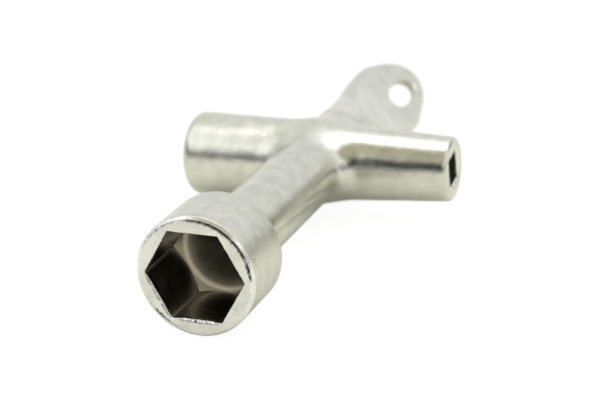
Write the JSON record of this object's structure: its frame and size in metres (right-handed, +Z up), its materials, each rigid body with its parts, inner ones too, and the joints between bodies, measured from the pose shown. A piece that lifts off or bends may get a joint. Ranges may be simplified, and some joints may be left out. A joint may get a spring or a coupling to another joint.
{
  "type": "radiator bleed key",
  "caption": "Four-way cast radiator bleed key: hex socket head on a round stem, square sockets in both cross arms, flat hanging tab with an eye.",
  "frame": {"origin": "where the stem axis crosses the axis of the two arms, in the middle of the hub", "axes": "+Y along the stem from the hex socket head towards the ring tab, +X along the arms towards the smaller square socket, +Z up, square to both"},
  "size_m": [0.0451, 0.1044, 0.0178],
  "materials": {
    "nickel_plate": "satin nickel plate over a fine-grained zinc casting"
  },
  "bodies": {
    "root": {"hex_socket_head": "nickel_plate", "stem": "nickel_plate", "hub": "nickel_plate", "left_arm": "nickel_plate", "right_arm": "nickel_plate", "ring_tab": "nickel_plate"}
  },
  "joints": []
}
